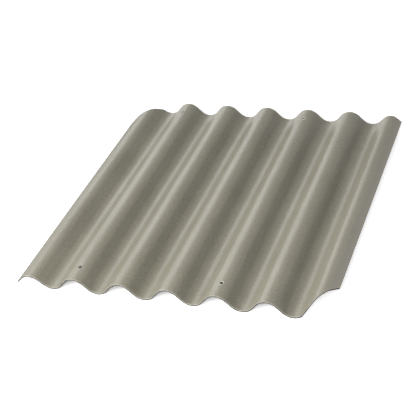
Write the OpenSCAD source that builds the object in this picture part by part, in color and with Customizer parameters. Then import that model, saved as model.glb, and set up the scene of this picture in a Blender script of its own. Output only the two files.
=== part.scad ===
// Corrugated fibre cement roofing sheet, one moulded piece: rounded corrugations joined by
// straight flanks, a lower crest along each side edge, two mitred corners and four fixing holes.
// The corrugations run along Y. The origin is under the middle of the sheet, in the plane of
// the valley bottoms.

/* [Sheet] */
// Length of the sheet along its corrugations
sheet_l = 1200; // [600:10:3000]
// Thickness of the wall
wall_t = 6; // [4:0.5:8]

/* [Corrugations] */
// Number of full-height crests between the two edge crests
full_crests = 5; // [2:1:12]
// Distance from one full crest to the next
pitch = 177; // [120:1:260]
// Height of a full crest above the valleys, measured on the same face
crest_rise = 51; // [25:1:80]
// Bend radius of the full crests, at mid-wall
crest_r = 47.5; // [20:0.5:70]
// Bend radius of the valleys, at mid-wall
valley_r = 47.5; // [20:0.5:70]

/* [Left edge] */
// Distance from the first valley to the left edge crest
left_span = 85.5; // [60:0.5:130]
// Height of the left edge crest above the valleys
left_rise = 44; // [20:1:70]
// Bend radius of the left edge crest, at mid-wall
left_r = 46; // [20:0.5:70]
// Width of the lip beyond the left edge crest
left_lip = 53; // [15:1:65]

/* [Right edge] */
// Distance from the last valley to the right edge crest
right_span = 78.5; // [60:0.5:130]
// Height of the right edge crest above the valleys
right_rise = 43; // [20:1:70]
// Bend radius of the right edge crest, at mid-wall
right_r = 35; // [20:0.5:70]
// Width of the lip beyond the right edge crest
right_lip = 42; // [15:1:60]

/* [Mitred corners] */
// Width cut off the front right corner
front_mitre_w = 92; // [40:1:150]
// Length cut off the front right corner
front_mitre_l = 154; // [50:1:250]
// Width cut off the back left corner
back_mitre_w = 107; // [40:1:150]
// Length cut off the back left corner
back_mitre_l = 128; // [50:1:250]

/* [Fixing holes] */
// Diameter of the four fixing holes
hole_d = 11; // [6:0.5:16]
// Distance from each hole's centre to the end of the sheet
hole_inset = 72; // [30:1:250]
// Crest with the left pair of holes, counted from the left edge
left_hole_crest = 2; // [1:1:4]
// Crest with the right pair of holes, counted from the right edge
right_hole_crest = 3; // [1:1:4]

/* [Hidden] */
bend_steps = 16;        // straight facets round each bend
hole_sides = 48;        // facets round each hole
clear = 10;             // how far a cutter reaches past what it cuts
mitre_overrun = 0.2;    // the same for a mitre cutter, as a share of its own size

// Bends are numbered along the section from 0 at the left edge crest: even ones are crests,
// odd ones are valleys. Flank i runs from bend i to bend i + 1.
last_bend = 2 * (full_crests + 1);
function is_crest(i) = i % 2 == 0;
function crest_height(i) = i == 0 ? left_rise : i == last_bend ? right_rise : crest_rise;
function full_r(i) = i == 0 ? left_r : i == last_bend ? right_r : is_crest(i) ? crest_r : valley_r;

// A flank's width and height, and how much of its two bends' full radii it has room for. With
// just enough room the arcs meet with no straight between them.
function span(i) = i == 0 ? left_span : i == last_bend - 1 ? right_span : pitch / 2;
function drop(i) = crest_height(is_crest(i) ? i : i + 1);
function flank_room(i) =
    i < 0 || i == last_bend ? 1
    : (span(i) ^ 2 + drop(i) ^ 2) / (2 * drop(i) * (full_r(i) + full_r(i + 1)));
function bend_r(i) = full_r(i) * min(1, flank_room(i - 1), flank_room(i));

// A flank's slope is that of the straight line that touches both of its arcs.
function tangent_slope(across, radii, down) =
    atan2(across, radii - down) - acos(min(1, radii / norm([across, radii - down])));
function slope(i) = tangent_slope(span(i), bend_r(i) + bend_r(i + 1), drop(i));

// A lip carries on round its crest until it is as steep as the crest's other flank, or reaches
// its full width, or would come down to the valleys before that width.
function lip_slope(lip, r, rise, flank_slope) =
    min(flank_slope, asin(min(1, lip / r)), tangent_slope(lip, r, rise));
left_slope = lip_slope(left_lip, bend_r(0), left_rise, slope(0));
right_slope = lip_slope(right_lip, bend_r(last_bend), right_rise, slope(last_bend - 1));
function slope_before(i) = i == 0 ? left_slope : slope(i - 1);
function slope_after(i) = i == last_bend ? right_slope : slope(i);
function lip_run(lip, r, angle) = (lip - r * sin(angle)) / cos(angle);

// Bend i's place along X from the left edge crest, then from the middle of the sheet.
function along(i) = i == 0 ? 0 : along(i - 1) + span(i - 1);
left_end = -left_lip - wall_t / 2 * sin(left_slope);
right_end = along(last_bend) + right_lip + wall_t / 2 * sin(right_slope);
function bend_x(i) = along(i) - (left_end + right_end) / 2;
sheet_w = right_end - left_end;
cutter_h = max(crest_rise, left_rise, right_rise) + wall_t + 2 * clear;

// One face of bend i, from left to right: side is 1 for the upper face and -1 for the lower.
function bend_face(i, side) =
    let (up = is_crest(i) ? 1 : -1,
         apex_z = wall_t / 2 + (is_crest(i) ? crest_height(i) : 0),
         centre_z = apex_z - up * bend_r(i),
         face_r = bend_r(i) + up * side * wall_t / 2,
         turn = slope_before(i) + slope_after(i))
    [for (k = [0 : bend_steps])
        let (angle = turn * k / bend_steps - slope_before(i))
        [bend_x(i) + face_r * sin(angle), centre_z + up * face_r * cos(angle)]];

// One face of the whole section, from lip to lip.
function section_face(side) =
    let (bends = [for (i = [0 : last_bend]) each bend_face(i, side)],
         left_run = lip_run(left_lip, bend_r(0), left_slope),
         right_run = lip_run(right_lip, bend_r(last_bend), right_slope))
    concat([bends[0] - left_run * [cos(left_slope), sin(left_slope)]], bends,
           [bends[len(bends) - 1] + right_run * [cos(right_slope), -sin(right_slope)]]);
function reversed(list) = [for (i = [len(list) - 1 : -1 : 0]) list[i]];

module corrugated_wall() {
    rotate([90, 0, 0])
        linear_extrude(height = sheet_l, center = true)
            polygon(concat(section_face(-1), reversed(section_face(1))));
}

// A cutter for the corner at the origin of a sheet that lies towards -X and +Y.
module mitre_cutter(w, l) {
    corner = [w * mitre_overrun, -l * mitre_overrun];
    reach = 1 + 2 * mitre_overrun;
    translate([0, 0, -clear])
        linear_extrude(height = cutter_h)
            polygon([corner, corner + [0, l * reach], corner - [w * reach, 0]]);
}

module mitre_cutters() {
    translate([sheet_w / 2, -sheet_l / 2, 0])
        mitre_cutter(front_mitre_w, front_mitre_l);
    translate([-sheet_w / 2, sheet_l / 2, 0])
        rotate([0, 0, 180])
            mitre_cutter(back_mitre_w, back_mitre_l);
}

module hole_drills() {
    left_bend = 2 * (left_hole_crest - 1);
    right_bend = last_bend - 2 * (right_hole_crest - 1);
    for (bend = [left_bend, right_bend], end = [-1, 1])
        translate([bend_x(bend), end * (sheet_l / 2 - hole_inset), -clear])
            cylinder(d = hole_d, h = cutter_h, $fn = hole_sides);
}

module sheet() {
    color("#8a8779")
        difference() {
            corrugated_wall();
            mitre_cutters();
            hole_drills();
        }
}

sheet();
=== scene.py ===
"""Corrugated fibre cement roofing sheet: the looks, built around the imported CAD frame.

A Geometry Nodes tree wraps a flat sheet over a corrugated former line, trims its ends and its
two mitred corners, wears its cut edges and drills its four holes. Three finishes cover it: the
sealed upper face, the felt-marked under face and the sawn edges.
Everything is in metres. X runs across the corrugations, Y along them, Z up.
"""
import math

import bpy
from mathutils import Matrix, Vector


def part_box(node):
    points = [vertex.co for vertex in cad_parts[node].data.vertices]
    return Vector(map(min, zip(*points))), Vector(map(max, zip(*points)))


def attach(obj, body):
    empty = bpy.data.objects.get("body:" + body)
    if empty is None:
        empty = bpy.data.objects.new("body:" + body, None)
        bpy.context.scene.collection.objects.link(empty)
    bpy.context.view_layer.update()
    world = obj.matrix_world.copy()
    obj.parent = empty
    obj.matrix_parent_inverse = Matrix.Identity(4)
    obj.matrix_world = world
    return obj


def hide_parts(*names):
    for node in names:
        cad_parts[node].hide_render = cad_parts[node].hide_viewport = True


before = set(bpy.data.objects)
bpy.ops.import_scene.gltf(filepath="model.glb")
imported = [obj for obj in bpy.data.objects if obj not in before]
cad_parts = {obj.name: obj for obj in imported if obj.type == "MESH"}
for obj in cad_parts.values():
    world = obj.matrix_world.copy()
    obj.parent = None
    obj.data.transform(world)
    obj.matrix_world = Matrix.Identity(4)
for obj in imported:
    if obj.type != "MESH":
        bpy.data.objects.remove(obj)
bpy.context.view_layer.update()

MM = 0.001
SHEET_LOW, SHEET_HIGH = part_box("sheet")
SHEET_W = SHEET_HIGH.x - SHEET_LOW.x
SHEET_L = SHEET_HIGH.y - SHEET_LOW.y

# The section, with the same driving dimensions as the CAD part
WALL = 6 * MM
PITCH = 177 * MM
FULL_CRESTS = 5
CREST_RISE, CREST_R, VALLEY_R = 51 * MM, 47.5 * MM, 47.5 * MM
LEFT_SPAN, LEFT_RISE, LEFT_R, LEFT_LIP = 85.5 * MM, 44 * MM, 46 * MM, 53 * MM
RIGHT_SPAN, RIGHT_RISE, RIGHT_R, RIGHT_LIP = 78.5 * MM, 43 * MM, 35 * MM, 42 * MM
FRONT_MITRE_W, FRONT_MITRE_L = 92 * MM, 154 * MM
BACK_MITRE_W, BACK_MITRE_L = 107 * MM, 128 * MM
HOLE_D = 11 * MM
HOLE_INSET = 72 * MM
LEFT_HOLE_BEND, RIGHT_HOLE_BEND = 2, 8      # bends are numbered from 0, crests are even


# ---------------------------------------------------------------- building node trees

def add(tree, kind, inputs=None, **settings):
    """Adds a node with its settings; inputs maps sockets to constants, or to nodes or outputs."""
    node = tree.nodes.new(kind)
    for name, value in settings.items():
        setattr(node, name, value)
    for key, value in (inputs or {}).items():
        if isinstance(value, bpy.types.Node):
            value = next(output for output in value.outputs if output.enabled)
        if isinstance(value, bpy.types.NodeSocket):
            tree.links.new(value, node.inputs[key])
        else:
            node.inputs[key].default_value = value
    return node


# ---------------------------------------------------------------- the former line

def tangent_slope(across, radii, down):
    """Slope of the straight flank that touches both of its bends."""
    return math.atan2(across, radii - down) - math.acos(radii / math.hypot(across, radii - down))


def former_corners():
    """Corners of the zigzag that the bends round off, as (x, z, radius), and each bend's x."""
    last = 2 * (FULL_CRESTS + 1)
    bends = range(last + 1)
    spans = [LEFT_SPAN] + [PITCH / 2] * (last - 2) + [RIGHT_SPAN]
    rises = [LEFT_RISE if i == 0 else RIGHT_RISE if i == last else CREST_RISE for i in bends]
    radii = [LEFT_R if i == 0 else RIGHT_R if i == last
             else VALLEY_R if i % 2 else CREST_R for i in bends]
    slopes = [tangent_slope(spans[i], radii[i] + radii[i + 1], rises[i + i % 2])
              for i in range(last)]
    left_x = SHEET_LOW.x + WALL / 2 * math.sin(slopes[0]) + LEFT_LIP
    bend_xs = [left_x + sum(spans[:i]) for i in bends]

    corners = []
    for i in bends:
        up = -1 if i % 2 else 1
        before = slopes[max(i - 1, 0)]
        after = slopes[min(i, last - 1)]
        middle = (after - before) / 2
        reach = radii[i] / math.cos((before + after) / 2)
        centre_z = WALL / 2 + (rises[i] if up == 1 else 0) - up * radii[i]
        corners.append((bend_xs[i] + reach * math.sin(middle),
                        centre_z + up * reach * math.cos(middle), radii[i]))

    left_end = (bend_xs[0] - LEFT_LIP, corners[0][1] - LEFT_LIP * math.tan(slopes[0]), 0)
    right_end = (bend_xs[-1] + RIGHT_LIP, corners[-1][1] - RIGHT_LIP * math.tan(slopes[-1]), 0)
    return [left_end] + corners + [right_end], bend_xs


def make_former():
    """The zigzag as a chain of edges, each corner carrying its bend radius."""
    corners, bend_xs = former_corners()
    mesh = bpy.data.meshes.new("corrugated_sheet")
    edges = [(i, i + 1) for i in range(len(corners) - 1)]
    mesh.from_pydata([(x, 0, z) for x, z, _ in corners], edges, [])
    radius = mesh.attributes.new("bend_radius", "FLOAT", "POINT")
    radius.data.foreach_set("value", [r for _, _, r in corners])
    obj = bpy.data.objects.new("corrugated_sheet", mesh)
    bpy.context.scene.collection.objects.link(obj)
    return obj, bend_xs


# ---------------------------------------------------------------- the sheet's tree

SHEET_SIZES = {
    "Width": SHEET_W, "Length": SHEET_L, "Wall": WALL,
    "Front Mitre Width": FRONT_MITRE_W, "Front Mitre Length": FRONT_MITRE_L,
    "Back Mitre Width": BACK_MITRE_W, "Back Mitre Length": BACK_MITRE_L,
    "Hole Diameter": HOLE_D, "Hole Inset": HOLE_INSET,
    "Breakout Width": 7.0 * MM,     # how far the drill broke the face away round each hole
    "Breakout Depth": 1.2 * MM,
    "Arris": 2.0 * MM,              # width of the worn slope along every cut edge
    "Wear": 0.8 * MM,               # its usual depth
    "Saw Wander": 0.6 * MM,         # how far the cut ends stray from a straight line
    "Unevenness": 0.7 * MM,         # depth of the long swells pressed into each face
}
BEND_POINTS = 96                    # points round each bend of the former
COLUMNS, ROWS = 640, 60             # grid points across the sheet and along it
RIM_REACH = 0.01 * MM               # how near the rims of the two faces lie when they join
UPPER, UNDER, CUT = range(3)        # kinds of face, each with its own finish
HARD_EDGE = math.radians(22)

# Cells of noise over the flat sheet, across it and along it
CHIP_CELLS = (140, 120)             # chips in the worn edges, 10 mm
SWELL_CELLS = (13, 4)               # swells in the faces, 105 mm by 300 mm
SAW_CELLS = (30, 1)                 # the stray of a saw line, 46 mm
SEED = 5.0
FACE_STEP = 3.7                     # how far either side of the seed the two faces read theirs
SAW_ROWS = {"Front": 11.3, "Back": 23.9}    # where each end reads its saw line

DRILL_SIDES, DRILL_RINGS = 48, 20
DRILL_REACH = 1.7                   # a drill's length, in walls
DRILL_LEAN = (0.7, -0.5, 0)         # the side on which the drill broke out more
BREAKOUT_MIDDLE = 1.5               # about half way out over a breakout, in drill radii
# The crest's fall there, over the square of how far the drill's own surface lies to the side
CREST_FALL = BREAKOUT_MIDDLE ** 2 / (2 * CREST_R + WALL)


def former_curve(tree, former):
    """The former's chain of edges with its corners rounded off to their own radii."""
    radius = add(tree, "GeometryNodeInputNamedAttribute", {"Name": "bend_radius"})
    chain = add(tree, "GeometryNodeMeshToCurve", {"Mesh": former})
    return add(tree, "GeometryNodeFilletCurve",
               {"Curve": chain, "Count": BEND_POINTS, "Radius": radius}, mode="POLY")


def double_grid(tree):
    """Two grids, for the upper and the under face, with a rim of faces that will join them.

    "spot" is each point's place on the flat sheet, "side" is 1 on the upper face and -1 on the
    under face, and "kind" says which finish a face takes.
    """
    grid = add(tree, "GeometryNodeMeshGrid",
               {"Size X": 1.0, "Size Y": 1.0, "Vertices X": COLUMNS, "Vertices Y": ROWS})
    place = add(tree, "GeometryNodeInputPosition")
    flat = add(tree, "GeometryNodeStoreNamedAttribute",
               {"Geometry": grid.outputs["Mesh"], "Name": "spot", "Value": place},
               data_type="FLOAT_VECTOR")
    # An edge on the border has one face, any other has two
    face_count = add(tree, "GeometryNodeInputMeshEdgeNeighbors")
    is_border = add(tree, "ShaderNodeMath", {0: face_count, 1: 1.5}, operation="LESS_THAN")
    rim = add(tree, "GeometryNodeExtrudeMesh",
              {"Mesh": flat, "Selection": is_border, "Offset Scale": 0.0}, mode="EDGES")
    rim_side = add(tree, "GeometryNodeSwitch",
                   {"Switch": rim.outputs["Top"], "False": 1.0, "True": -1.0},
                   input_type="FLOAT")
    rim_kind = add(tree, "GeometryNodeSwitch",
                   {"Switch": rim.outputs["Side"], "False": UPPER, "True": CUT},
                   input_type="INT")
    upper = add(tree, "GeometryNodeStoreNamedAttribute",
                {"Geometry": rim, "Name": "side", "Value": rim_side})
    upper = add(tree, "GeometryNodeStoreNamedAttribute",
                {"Geometry": upper, "Name": "kind", "Value": rim_kind},
                data_type="INT", domain="FACE")
    under = add(tree, "GeometryNodeFlipFaces", {"Mesh": flat})
    under = add(tree, "GeometryNodeStoreNamedAttribute",
                {"Geometry": under, "Name": "side", "Value": -1.0})
    under = add(tree, "GeometryNodeStoreNamedAttribute",
                {"Geometry": under, "Name": "kind", "Value": UNDER},
                data_type="INT", domain="FACE")
    both = add(tree, "GeometryNodeJoinGeometry", {0: upper})
    tree.links.new(under.outputs[0], both.inputs[0])
    return both


def ring_place(tree, flat_place, points, arris, length):
    """A flat place as a share of the length, with the second ring one arris in from the edge.

    The outermost ring of the grid lands on the edge itself, so the faces between them are the
    worn slope of the arris.
    """
    step = 1 / (points - 1)
    share = add(tree, "ShaderNodeMath", {0: arris, 1: length}, operation="DIVIDE")
    other = add(tree, "ShaderNodeMath", {0: 1.0, 1: share}, operation="SUBTRACT")
    spread = add(tree, "ShaderNodeMapRange",
                 {"Value": flat_place, "From Min": step - 0.5, "From Max": 0.5 - step,
                  "To Min": share, "To Max": other}, clamp=False)
    return add(tree, "ShaderNodeMath", {0: spread, 1: 0.0}, operation="ADD", use_clamp=True)


def edge_distance(tree, place, length):
    """How far a place lies from the nearer of the two edges."""
    other = add(tree, "ShaderNodeMath", {0: 1.0, 1: place}, operation="SUBTRACT")
    nearer = add(tree, "ShaderNodeMath", {0: place, 1: other}, operation="MINIMUM")
    return add(tree, "ShaderNodeMath", {0: nearer, 1: length}, operation="MULTIPLY")


def sheet_noise(tree, across, along, seed, cells, detail=1.0):
    """Noise over the flat sheet, with so many cells across it and along it."""
    x = add(tree, "ShaderNodeMath", {0: across, 1: cells[0]}, operation="MULTIPLY")
    y = add(tree, "ShaderNodeMath", {0: along, 1: cells[1]}, operation="MULTIPLY")
    spot = add(tree, "ShaderNodeCombineXYZ", {"X": x, "Y": y, "Z": seed})
    return add(tree, "ShaderNodeTexNoise", {"Vector": spot, "Scale": 1.0, "Detail": detail})


def mitre_cut(tree, reach, size, width, length):
    """How much further in the end is cut, at a point that reaches so far towards the corner."""
    half = add(tree, "ShaderNodeMath", {0: size["Width"], 1: 0.5}, operation="MULTIPLY")
    start = add(tree, "ShaderNodeMath", {0: half, 1: size[width]}, operation="SUBTRACT")
    over = add(tree, "ShaderNodeMath", {0: reach, 1: start}, operation="SUBTRACT")
    over = add(tree, "ShaderNodeMath", {0: over, 1: 0.0}, operation="MAXIMUM")
    slope = add(tree, "ShaderNodeMath", {0: size[length], 1: size[width]}, operation="DIVIDE")
    return add(tree, "ShaderNodeMath", {0: over, 1: slope}, operation="MULTIPLY")


def edge_wear(tree, size, across, along, nearest, layer):
    """How deep the edge is worn: most on the very edge, and nothing from the second ring in."""
    worn = add(tree, "ShaderNodeMapRange",
               {"Value": nearest, "From Min": 0.0, "From Max": size["Arris"],
                "To Min": 1.0, "To Max": 0.0})
    chips = add(tree, "ShaderNodeMapRange",
                {"Value": sheet_noise(tree, across, along, layer, CHIP_CELLS),
                 "From Min": 0.35, "From Max": 0.75, "To Min": 0.4, "To Max": 1.6})
    worn_by = add(tree, "ShaderNodeMath", {0: worn, 1: chips}, operation="MULTIPLY")
    return add(tree, "ShaderNodeMath", {0: worn_by, 1: size["Wear"]}, operation="MULTIPLY")


def section_place(tree, size, former, across, side, depth):
    """A face's place on the section: half a wall off the former, less its swells and wear."""
    half_wall = add(tree, "ShaderNodeMath", {0: size["Wall"], 1: 0.5}, operation="MULTIPLY")
    stand = add(tree, "ShaderNodeMath", {0: half_wall, 1: depth}, operation="SUBTRACT")
    stand = add(tree, "ShaderNodeMath", {0: stand, 1: side}, operation="MULTIPLY")
    on_former = add(tree, "GeometryNodeSampleCurve", {"Curves": former, "Factor": across},
                    mode="FACTOR")
    outward = add(tree, "ShaderNodeVectorMath",
                  {0: on_former.outputs["Tangent"], 1: (0, 1, 0)}, operation="CROSS_PRODUCT")
    outward = add(tree, "ShaderNodeVectorMath", {0: outward, "Scale": stand}, operation="SCALE")
    place = add(tree, "ShaderNodeVectorMath",
                {0: on_former.outputs["Position"], 1: outward}, operation="ADD")
    return add(tree, "ShaderNodeSeparateXYZ", {0: place}).outputs


def sawn_place(tree, size, x, across, along):
    """The place along the sheet, between ends sawn a little off straight and mitred."""
    half_l = add(tree, "ShaderNodeMath", {0: size["Length"], 1: 0.5}, operation="MULTIPLY")
    leftward = add(tree, "ShaderNodeMath", {0: x, 1: -1.0}, operation="MULTIPLY")
    ends = []
    for reach, name in ((x, "Front"), (leftward, "Back")):
        cut = mitre_cut(tree, reach, size, name + " Mitre Width", name + " Mitre Length")
        saw_line = sheet_noise(tree, across, SAW_ROWS[name], size["Seed"], SAW_CELLS, detail=3.0)
        cut = add(tree, "ShaderNodeMath", {0: saw_line, 1: size["Saw Wander"], 2: cut},
                  operation="MULTIPLY_ADD")
        ends.append(add(tree, "ShaderNodeMath", {0: half_l, 1: cut}, operation="SUBTRACT"))
    front, back = ends
    front = add(tree, "ShaderNodeMath", {0: front, 1: -1.0}, operation="MULTIPLY")
    cut_length = add(tree, "ShaderNodeMath", {0: back, 1: front}, operation="SUBTRACT")
    return add(tree, "ShaderNodeMath", {0: along, 1: cut_length, 2: front},
               operation="MULTIPLY_ADD")


def formed_sheet(tree, size):
    """The flat sheet laid over the former, given its wall, worn edges, cut ends and mitres."""
    former = former_curve(tree, size["Former"])
    developed = add(tree, "GeometryNodeCurveLength", {"Curve": former})
    spot = add(tree, "GeometryNodeInputNamedAttribute", {"Name": "spot"},
               data_type="FLOAT_VECTOR")
    spot = add(tree, "ShaderNodeSeparateXYZ", {0: spot}).outputs
    side = add(tree, "GeometryNodeInputNamedAttribute", {"Name": "side"})
    across = ring_place(tree, spot["X"], COLUMNS, size["Arris"], developed)
    along = ring_place(tree, spot["Y"], ROWS, size["Arris"], size["Length"])
    to_side = edge_distance(tree, across, developed)
    to_end = edge_distance(tree, along, size["Length"])
    nearest = add(tree, "ShaderNodeMath", {0: to_side, 1: to_end}, operation="MINIMUM")

    # Each face has swells and chips of its own
    layer = add(tree, "ShaderNodeMath", {0: side, 1: FACE_STEP, 2: size["Seed"]},
                operation="MULTIPLY_ADD")
    swell = sheet_noise(tree, across, along, layer, SWELL_CELLS, detail=2.0)
    wear = edge_wear(tree, size, across, along, nearest, layer)
    depth = add(tree, "ShaderNodeMath", {0: swell, 1: size["Unevenness"], 2: wear},
                operation="MULTIPLY_ADD")

    section = section_place(tree, size, former, across, side, depth)
    y = sawn_place(tree, size, section["X"], across, along)
    place = add(tree, "ShaderNodeCombineXYZ", {"X": section["X"], "Y": y, "Z": section["Z"]})
    edges = add(tree, "ShaderNodeCombineXYZ", {"X": to_side, "Y": to_end})
    marked = add(tree, "GeometryNodeStoreNamedAttribute",
                 {"Geometry": double_grid(tree), "Name": "edges", "Value": edges},
                 data_type="FLOAT_VECTOR")
    formed = add(tree, "GeometryNodeSetPosition", {"Geometry": marked, "Position": place})
    return add(tree, "GeometryNodeMergeByDistance", {"Geometry": formed, "Distance": RIM_REACH})


def straight_drills(tree, size):
    """Four drills, one at each corner of the hole pattern.

    "spoke" is each point's place on its own drill.
    """
    radius = add(tree, "ShaderNodeMath", {0: size["Hole Diameter"], 1: 0.5},
                 operation="MULTIPLY")
    reach = add(tree, "ShaderNodeMath", {0: size["Wall"], 1: DRILL_REACH}, operation="MULTIPLY")
    drill = add(tree, "GeometryNodeMeshCylinder",
                {"Vertices": DRILL_SIDES, "Side Segments": DRILL_RINGS, "Radius": radius,
                 "Depth": reach})
    drill = add(tree, "GeometryNodeStoreNamedAttribute",
                {"Geometry": drill.outputs["Mesh"], "Name": "spoke",
                 "Value": add(tree, "GeometryNodeInputPosition")}, data_type="FLOAT_VECTOR")

    left, right = size["Left Hole X"], size["Right Hole X"]
    spacing_x = add(tree, "ShaderNodeMath", {0: right, 1: left}, operation="SUBTRACT")
    middle_x = add(tree, "ShaderNodeMath", {0: right, 1: left}, operation="ADD")
    middle_x = add(tree, "ShaderNodeMath", {0: middle_x, 1: 0.5}, operation="MULTIPLY")
    spacing_y = add(tree, "ShaderNodeMath", {0: size["Hole Inset"], 1: -2.0, 2: size["Length"]},
                    operation="MULTIPLY_ADD")
    corners = add(tree, "GeometryNodeMeshGrid",
                  {"Size X": spacing_x, "Size Y": spacing_y, "Vertices X": 2, "Vertices Y": 2})
    centre = add(tree, "ShaderNodeCombineXYZ", {"X": middle_x, "Z": size["Hole Z"]})
    corners = add(tree, "GeometryNodeTransform",
                  {"Geometry": corners.outputs["Mesh"], "Translation": centre})
    drills = add(tree, "GeometryNodeInstanceOnPoints", {"Points": corners, "Instance": drill})
    return add(tree, "GeometryNodeRealizeInstances", {"Geometry": drills})


def breakout(tree, size, spoke, flare):
    """How far the flare stands out from the drill, with a chipped outline and a lean."""
    chips = add(tree, "ShaderNodeTexNoise", {"Scale": 1 / (4 * MM), "Detail": 1.0},
                noise_dimensions="3D")
    chips = add(tree, "ShaderNodeMapRange",
                {"Value": chips, "From Min": 0.3, "From Max": 0.7, "To Min": 0.55,
                 "To Max": 1.2})
    flat_spoke = add(tree, "ShaderNodeVectorMath", {0: spoke, 1: (1, 1, 0)},
                     operation="MULTIPLY")
    outward = add(tree, "ShaderNodeVectorMath", {0: flat_spoke}, operation="NORMALIZE")
    leaning = add(tree, "ShaderNodeVectorMath", {0: outward, 1: DRILL_LEAN},
                  operation="DOT_PRODUCT")
    leaning = add(tree, "ShaderNodeMath", {0: leaning.outputs["Value"], 1: 1.0},
                  operation="ADD")
    wider = add(tree, "ShaderNodeMath", {0: flare, 1: chips}, operation="MULTIPLY")
    wider = add(tree, "ShaderNodeMath", {0: wider, 1: leaning}, operation="MULTIPLY")
    wider = add(tree, "ShaderNodeMath", {0: wider, 1: size["Breakout Width"]},
                operation="MULTIPLY")
    return add(tree, "ShaderNodeVectorMath", {0: outward, "Scale": wider}, operation="SCALE")


def hole_drills(tree, size):
    """The drills, put up from beneath, that flare where they broke out of the upper face.

    On them "side" is the height in half walls, 1 at the upper face, and "broken" is 0 up to the
    breakout and 1 at the face.
    """
    half_wall = add(tree, "ShaderNodeMath", {0: size["Wall"], 1: 0.5}, operation="MULTIPLY")
    spoke = add(tree, "GeometryNodeInputNamedAttribute", {"Name": "spoke"},
                data_type="FLOAT_VECTOR")
    spoke_parts = add(tree, "ShaderNodeSeparateXYZ", {0: spoke}).outputs
    # Height on the drill, measured from a wall that falls away over the crest
    fall = add(tree, "ShaderNodeMath", {0: spoke_parts["X"], 1: 2.0}, operation="POWER")
    height = add(tree, "ShaderNodeMath", {0: fall, 1: CREST_FALL, 2: spoke_parts["Z"]},
                 operation="MULTIPLY_ADD")
    below_face = add(tree, "ShaderNodeMath", {0: half_wall, 1: size["Breakout Depth"]},
                     operation="SUBTRACT")
    flare = add(tree, "ShaderNodeMapRange",
                {"Value": height, "From Min": below_face, "From Max": half_wall,
                 "To Min": 0.0, "To Max": 1.0}, clamp=False)
    flare = add(tree, "ShaderNodeMath", {0: flare, 1: 0.0}, operation="MAXIMUM")
    drills = add(tree, "GeometryNodeSetPosition",
                 {"Geometry": straight_drills(tree, size),
                  "Offset": breakout(tree, size, spoke, flare)})
    wall_place = add(tree, "ShaderNodeMath", {0: height, 1: half_wall}, operation="DIVIDE")
    drills = add(tree, "GeometryNodeStoreNamedAttribute",
                 {"Geometry": drills, "Name": "side", "Value": wall_place})
    drills = add(tree, "GeometryNodeStoreNamedAttribute",
                 {"Geometry": drills, "Name": "broken", "Value": flare})
    return add(tree, "GeometryNodeStoreNamedAttribute",
               {"Geometry": drills, "Name": "kind", "Value": CUT},
               data_type="INT", domain="FACE")


def sheet_tree(finishes):
    """The whole sheet: formed, drilled, and each kind of face given its finish."""
    tree = bpy.data.node_groups.new("corrugated sheet", "GeometryNodeTree")
    tree.interface.new_socket("Former", in_out="INPUT", socket_type="NodeSocketGeometry")
    for name in (*SHEET_SIZES, "Left Hole X", "Right Hole X", "Hole Z", "Seed"):
        tree.interface.new_socket(name, in_out="INPUT", socket_type="NodeSocketFloat")
    tree.interface.new_socket("Sheet", in_out="OUTPUT", socket_type="NodeSocketGeometry")
    size = add(tree, "NodeGroupInput").outputs

    drilled = add(tree, "GeometryNodeMeshBoolean",
                  {"Mesh 1": formed_sheet(tree, size), "Mesh 2": hole_drills(tree, size)},
                  operation="DIFFERENCE", solver="MANIFOLD")
    angle = add(tree, "GeometryNodeInputMeshEdgeAngle")
    smooth = add(tree, "ShaderNodeMath", {0: angle, 1: HARD_EDGE}, operation="LESS_THAN")
    sheet = add(tree, "GeometryNodeSetShadeSmooth",
                {"Geometry": drilled, "Shade Smooth": smooth}, domain="EDGE")
    sheet = add(tree, "GeometryNodeRealizeInstances", {"Geometry": sheet})
    kind = add(tree, "GeometryNodeInputNamedAttribute", {"Name": "kind"}, data_type="INT")
    for number, finish in enumerate(finishes):
        is_kind = add(tree, "FunctionNodeCompare", {2: kind, 3: number},
                      data_type="INT", operation="EQUAL")
        sheet = add(tree, "GeometryNodeSetMaterial",
                    {"Geometry": sheet, "Selection": is_kind, "Material": finish})
    add(tree, "NodeGroupOutput", {0: sheet})
    return tree


def make_sheet(finishes):
    """The formed sheet as one plain mesh."""
    sheet, bend_xs = make_former()
    forming = sheet.modifiers.new("forming", "NODES")
    forming.node_group = sheet_tree(finishes)
    values = {**SHEET_SIZES, "Left Hole X": bend_xs[LEFT_HOLE_BEND],
              "Right Hole X": bend_xs[RIGHT_HOLE_BEND], "Hole Z": CREST_RISE + WALL / 2,
              "Seed": SEED}
    for socket in forming.node_group.interface.items_tree:
        if socket.name in values:
            forming[socket.identifier] = values[socket.name]
    bpy.context.view_layer.update()
    formed = sheet.evaluated_get(bpy.context.evaluated_depsgraph_get())
    mesh = bpy.data.meshes.new_from_object(formed)
    sheet.modifiers.remove(forming)
    sheet.data = mesh
    return sheet


# ---------------------------------------------------------------- finishes

def linear(hex_colour):
    """An sRGB hex colour as linear RGBA."""
    parts = [int(hex_colour[i:i + 2], 16) / 255 for i in (1, 3, 5)]
    return [c / 12.92 if c <= 0.04045 else ((c + 0.055) / 1.055) ** 2.4 for c in parts] + [1.0]


def new_finish(name):
    """An empty material, its tree and its Object coordinates."""
    material = bpy.data.materials.new(name)
    material.use_nodes = True
    tree = material.node_tree
    tree.nodes.clear()
    return material, tree, add(tree, "ShaderNodeTexCoord").outputs["Object"]


def stained(tree, colour, stain, value, between, shares=(0.0, 1.0), **settings):
    """The colour with a stain mixed in, by a share that follows a value between two limits."""
    share = add(tree, "ShaderNodeMapRange",
                {"Value": value, "From Min": between[0], "From Max": between[1],
                 "To Min": shares[0], "To Max": shares[1]}, **settings)
    return add(tree, "ShaderNodeMix", {0: share, 6: colour, 7: linear(stain)},
               data_type="RGBA")


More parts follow.
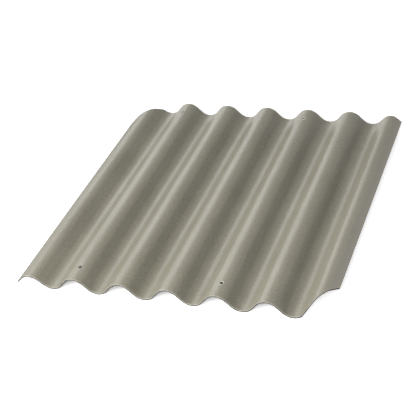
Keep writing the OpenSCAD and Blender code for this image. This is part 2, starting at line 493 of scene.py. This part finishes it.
def edge_gaps(tree):
    """How far the point lies from the nearer side edge, as X, and from the nearer end, as Y."""
    edges = add(tree, "ShaderNodeAttribute", attribute_name="edges").outputs["Vector"]
    return add(tree, "ShaderNodeSeparateXYZ", {0: edges}).outputs


def surface(tree, colour, roughness, ior, relief, depth):
    """Ends a finish: its colour and dullness, over relief that is so deep."""
    bump = add(tree, "ShaderNodeBump", {"Height": relief, "Distance": depth})
    shader = add(tree, "ShaderNodeBsdfPrincipled",
                 {"Base Color": colour, "Roughness": roughness, "IOR": ior, "Normal": bump})
    add(tree, "ShaderNodeOutputMaterial", {0: shader})


def sealed_face():
    """Fibre cement cured against an oiled steel former and sealed at the works.

    An even olive grey with a dull sheen. The oil and the felt have left faint lines along the
    sheet, and the cement under the seal is softly clouded. The left lip is darkened with painted
    shade and the right lip paled with painted light. The edges are knocked and rubbed, and the
    sawn ends are paler, partly worn and partly a painted highlight.
    """
    material, tree, place = new_finish("sealed_fibre_cement")

    # Lines 9 mm wide, drawn out along the sheet, and broad clouds of 180 mm
    drawn_out = add(tree, "ShaderNodeMapping", {"Vector": place, "Scale": (1, 0.03, 1)})
    lines = add(tree, "ShaderNodeTexNoise",
                {"Vector": drawn_out, "Scale": 1 / (9 * MM), "Detail": 3.0, "Roughness": 0.6})
    clouds = add(tree, "ShaderNodeTexNoise",
                 {"Vector": place, "Scale": 1 / (180 * MM), "Detail": 3.0, "Roughness": 0.5})
    # Fibres and fine sand under the seal: 0.5 mm in the real sheet, drawn 8 mm so they show
    specks = add(tree, "ShaderNodeTexNoise",
                 {"Vector": place, "Scale": 1 / (8 * MM), "Detail": 3.0, "Roughness": 0.75})
    colour = stained(tree, linear("#7f7c6c"), "#8a8777", clouds, (0.3, 0.7))
    colour = stained(tree, colour, "#7d776b", lines, (0.35, 0.75), (0.0, 0.4))
    colour = stained(tree, colour, "#9a978a", specks, (0.43, 0.8), (0.0, 0.8))

    # Painted shade: darker towards the left edge, over the left lip
    across = add(tree, "ShaderNodeSeparateXYZ", {0: place}).outputs["X"]
    painted_shade_band = SHEET_LOW.x, SHEET_LOW.x + LEFT_LIP
    painted_light_band = SHEET_HIGH.x - RIGHT_LIP, SHEET_HIGH.x
    colour = stained(tree, colour, "#5a5850", across, painted_shade_band, (0.5, 0.0))
    # Painted light: paler towards the right edge, over the right lip, standing in for light
    # bounced onto it
    colour = stained(tree, colour, "#b0aca3", across, painted_light_band, (0.0, 0.75))
    # The sawn ends are knocked and paler, and the pale band is widened into a painted highlight
    # along the arris
    gaps = edge_gaps(tree)
    colour = stained(tree, colour, "#b5b2a4", gaps["Y"], (2 * MM, 6 * MM), (0.6, 0.0))

    sheen = add(tree, "ShaderNodeMapRange",
                {"Value": lines, "From Min": 0.3, "From Max": 0.7,
                 "To Min": 0.37, "To Max": 0.45})
    # Handling has rubbed the sheen off a band along both side edges
    rubbed = add(tree, "ShaderNodeMapRange",
                 {"Value": gaps["X"], "From Min": 0.0, "From Max": 55 * MM,
                  "To Min": 0.5, "To Max": 0.0})
    sheen = add(tree, "ShaderNodeMath", {0: sheen, 1: rubbed}, operation="ADD")
    relief = add(tree, "ShaderNodeMath", {0: lines, 1: 0.5, 2: specks},
                 operation="MULTIPLY_ADD")
    surface(tree, colour, sheen, 1.45, relief, 0.06 * MM)
    return material


def felt_face():
    """The under face, left as the felt belt printed it: matt, paler, with a fine cross weave."""
    material, tree, place = new_finish("felt_marked_fibre_cement")
    # Felt threads lie 1 mm apart in the real sheet and are drawn 3 mm apart so they show
    down = add(tree, "ShaderNodeMapping", {"Vector": place, "Scale": (1, 0.2, 1)})
    over = add(tree, "ShaderNodeMapping", {"Vector": place, "Scale": (0.2, 1, 0.2)})
    down_threads, over_threads = (
        add(tree, "ShaderNodeTexNoise", {"Vector": run, "Scale": 1 / (3 * MM), "Detail": 1.0})
        for run in (down, over))
    weave = add(tree, "ShaderNodeMath", {0: down_threads, 1: over_threads},
                operation="MAXIMUM")
    clouds = add(tree, "ShaderNodeTexNoise",
                 {"Vector": place, "Scale": 1 / (90 * MM), "Detail": 4.0, "Roughness": 0.65})
    colour = stained(tree, linear("#86847a"), "#96948a", clouds, (0.3, 0.7))
    colour = stained(tree, colour, "#6c6a61", weave, (0.45, 0.7), (0.35, 0.0))
    # The sawn ends are knocked and paler
    colour = stained(tree, colour, "#b0ada1", edge_gaps(tree)["Y"], (0.0, 2 * MM), (1.0, 0.0))
    surface(tree, colour, 0.85, 1.5, weave, 0.35 * MM)
    return material


def sawn_edge():
    """The wall where it was sawn and drilled.

    Dry and gritty, in the thin layers that the sheet was built up from, and pale with dust along
    its corners. Its near-black grey is painted shade, for the shade on the sawn ends and in the
    holes. Where the drill broke the face away the cement is fresh and light, and made lighter
    still as a painted highlight round each hole.
    """
    material, tree, place = new_finish("sawn_fibre_cement")
    side = add(tree, "ShaderNodeAttribute", attribute_name="side").outputs["Fac"]
    # Three layers in each half of the wall
    layer = add(tree, "ShaderNodeMath", {0: side, 1: 3.0}, operation="MULTIPLY")
    layers = add(tree, "ShaderNodeTexNoise",
                 {"Vector": place, "W": layer, "Scale": 1 / (25 * MM), "Detail": 2.0},
                 noise_dimensions="4D")
    grit = add(tree, "ShaderNodeTexNoise",
               {"Vector": place, "Scale": 1 / (1.5 * MM), "Detail": 3.0, "Roughness": 0.7})
    # Painted shade: the wall's near-black grey stands for the shade on the sawn ends and in the
    # holes
    colour = stained(tree, linear("#2b2a27"), "#3b3935", layers, (0.35, 0.65))
    colour = stained(tree, colour, "#6b6962", grit, (0.5, 0.8), (0.0, 0.4))
    off_middle = add(tree, "ShaderNodeMath", {0: side}, operation="ABSOLUTE")
    colour = stained(tree, colour, "#a5a294", off_middle, (0.85, 1.0), (0.0, 0.2),
                     interpolation_type="SMOOTHSTEP")
    # Fresh paler cement where the drill broke out, lightened further as a painted highlight round
    # each hole
    broken = add(tree, "ShaderNodeAttribute", attribute_name="broken").outputs["Fac"]
    colour = stained(tree, colour, "#d2cfc2", broken, (0.05, 0.3))
    surface(tree, colour, 0.92, 1.5, grit, 0.4 * MM)
    return material


# ---------------------------------------------------------------- floor, light and camera

def seen_white(tree):
    """1 for the rays by which the camera, a gloss or a glass sees the background, else 0."""
    ray = add(tree, "ShaderNodeLightPath").outputs
    seen = add(tree, "ShaderNodeMath", {0: ray["Is Camera Ray"], 1: ray["Is Glossy Ray"]},
               operation="MAXIMUM")
    return add(tree, "ShaderNodeMath", {0: seen, 1: ray["Is Transmission Ray"]},
               operation="MAXIMUM")


FLOOR_HALF = 30.0
FLOOR_GAP = 0.5 * MM                # keeps the floor clear of the valleys that rest on it
FLOOR_GLOW = 0.75
SHADOW_REACH = 0.3                  # how near the sheet must be to darken the glow


def make_floor():
    """A pale floor just under the sheet.

    It glows only where it is seen, so it shows white, and it glows less in the narrow gaps
    under the sheet, so it keeps the sheet's shadow.
    """
    corners = [(-FLOOR_HALF, -FLOOR_HALF), (FLOOR_HALF, -FLOOR_HALF),
               (FLOOR_HALF, FLOOR_HALF), (-FLOOR_HALF, FLOOR_HALF)]
    mesh = bpy.data.meshes.new("floor")
    mesh.from_pydata([(x, y, SHEET_LOW.z - FLOOR_GAP) for x, y in corners], [], [(0, 1, 2, 3)])
    floor = bpy.data.objects.new("floor", mesh)
    bpy.context.scene.collection.objects.link(floor)
    material = bpy.data.materials.new("matt_white_studio_floor")
    material.use_nodes = True
    tree = material.node_tree
    tree.nodes.clear()
    open_sky = add(tree, "ShaderNodeAmbientOcclusion", {"Distance": SHADOW_REACH}, samples=8)
    open_sky = add(tree, "ShaderNodeMapRange",
                   {"Value": open_sky.outputs["AO"], "From Min": 0.04, "From Max": 0.12,
                    "To Min": 0.0, "To Max": FLOOR_GLOW})
    glow = add(tree, "ShaderNodeMath", {0: seen_white(tree), 1: open_sky},
               operation="MULTIPLY")
    shader = add(tree, "ShaderNodeBsdfPrincipled",
                 {"Base Color": linear("#e0e0e0"), "Roughness": 1.0, "Specular IOR Level": 0.0,
                  "Emission Color": (1, 1, 1, 1), "Emission Strength": glow})
    add(tree, "ShaderNodeOutputMaterial", {0: shader})
    mesh.materials.append(material)


def direction(bearing, elevation):
    """The unit vector towards a compass bearing: 0 is behind the sheet, 90 to its right."""
    bearing, elevation = math.radians(bearing), math.radians(elevation)
    return Vector((math.sin(bearing) * math.cos(elevation),
                   math.cos(bearing) * math.cos(elevation), math.sin(elevation)))


def facing(away):
    """The turn of a lamp or a camera that stands away in this direction and looks back."""
    return away.to_track_quat("Z", "Y").to_matrix()


# Wide soft lamps round the sheet: (bearing, elevation, distance, width, height, watts)
LAMPS = {
    "main_window": (324, 31, 9.0, 3.6, 3.8, 174),
    "low_window": (318, 8, 9.0, 5.0, 2.4, 41),
    "right_window": (85, 5, 9.0, 3.0, 1.2, 135),
    "front_fill": (202, 30, 3.5, 4.4, 3.2, 222),
}
AMBIENT = 0.24                      # strength of the world's light on the sheet


def make_lights():
    """The lamps, and a world that is white where it is seen and dimmer where it only lights."""
    world = bpy.data.worlds.new("white_studio")
    bpy.context.scene.world = world
    world.use_nodes = True
    tree = world.node_tree
    tree.nodes.clear()
    strength = add(tree, "ShaderNodeMapRange", {"Value": seen_white(tree), "To Min": AMBIENT})
    sky = add(tree, "ShaderNodeBackground", {"Color": (1, 1, 1, 1), "Strength": strength})
    add(tree, "ShaderNodeOutputWorld", {0: sky})
    for name, (bearing, elevation, distance, width, height, watts) in LAMPS.items():
        data = bpy.data.lights.new(name, "AREA")
        data.shape = "RECTANGLE"
        data.size, data.size_y = width, height
        data.energy = watts
        lamp = bpy.data.objects.new(name, data)
        bpy.context.scene.collection.objects.link(lamp)
        away = direction(bearing, elevation)
        lamp.matrix_world = Matrix.Translation(distance * away) @ facing(away).to_4x4()


CAMERA_TARGET = Vector((-0.0236, -0.0856, 0.0285))
CAMERA_DISTANCE = 4.034
CAMERA_BEARING, CAMERA_ELEVATION = 154.842, 34.816
CAMERA_ROLL = math.radians(-10.038)
CAMERA_LENS, CAMERA_SENSOR = 93.4, 36       # millimetres


def make_camera():
    """A long lens in front of the sheet, a little to its right, rolled so that it slants."""
    data = bpy.data.cameras.new("camera")
    data.lens = CAMERA_LENS
    data.sensor_width = CAMERA_SENSOR
    camera = bpy.data.objects.new("camera", data)
    bpy.context.scene.collection.objects.link(camera)
    away = direction(CAMERA_BEARING, CAMERA_ELEVATION)
    turn = facing(away) @ Matrix.Rotation(CAMERA_ROLL, 3, "Z")
    place = Matrix.Translation(CAMERA_TARGET + CAMERA_DISTANCE * away)
    camera.matrix_world = place @ turn.to_4x4()
    bpy.context.scene.camera = camera


bpy.context.scene.view_settings.view_transform = "Standard"
make_camera()
make_lights()
make_floor()
sheet = make_sheet((sealed_face(), felt_face(), sawn_edge()))
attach(sheet, "root")
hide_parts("sheet")
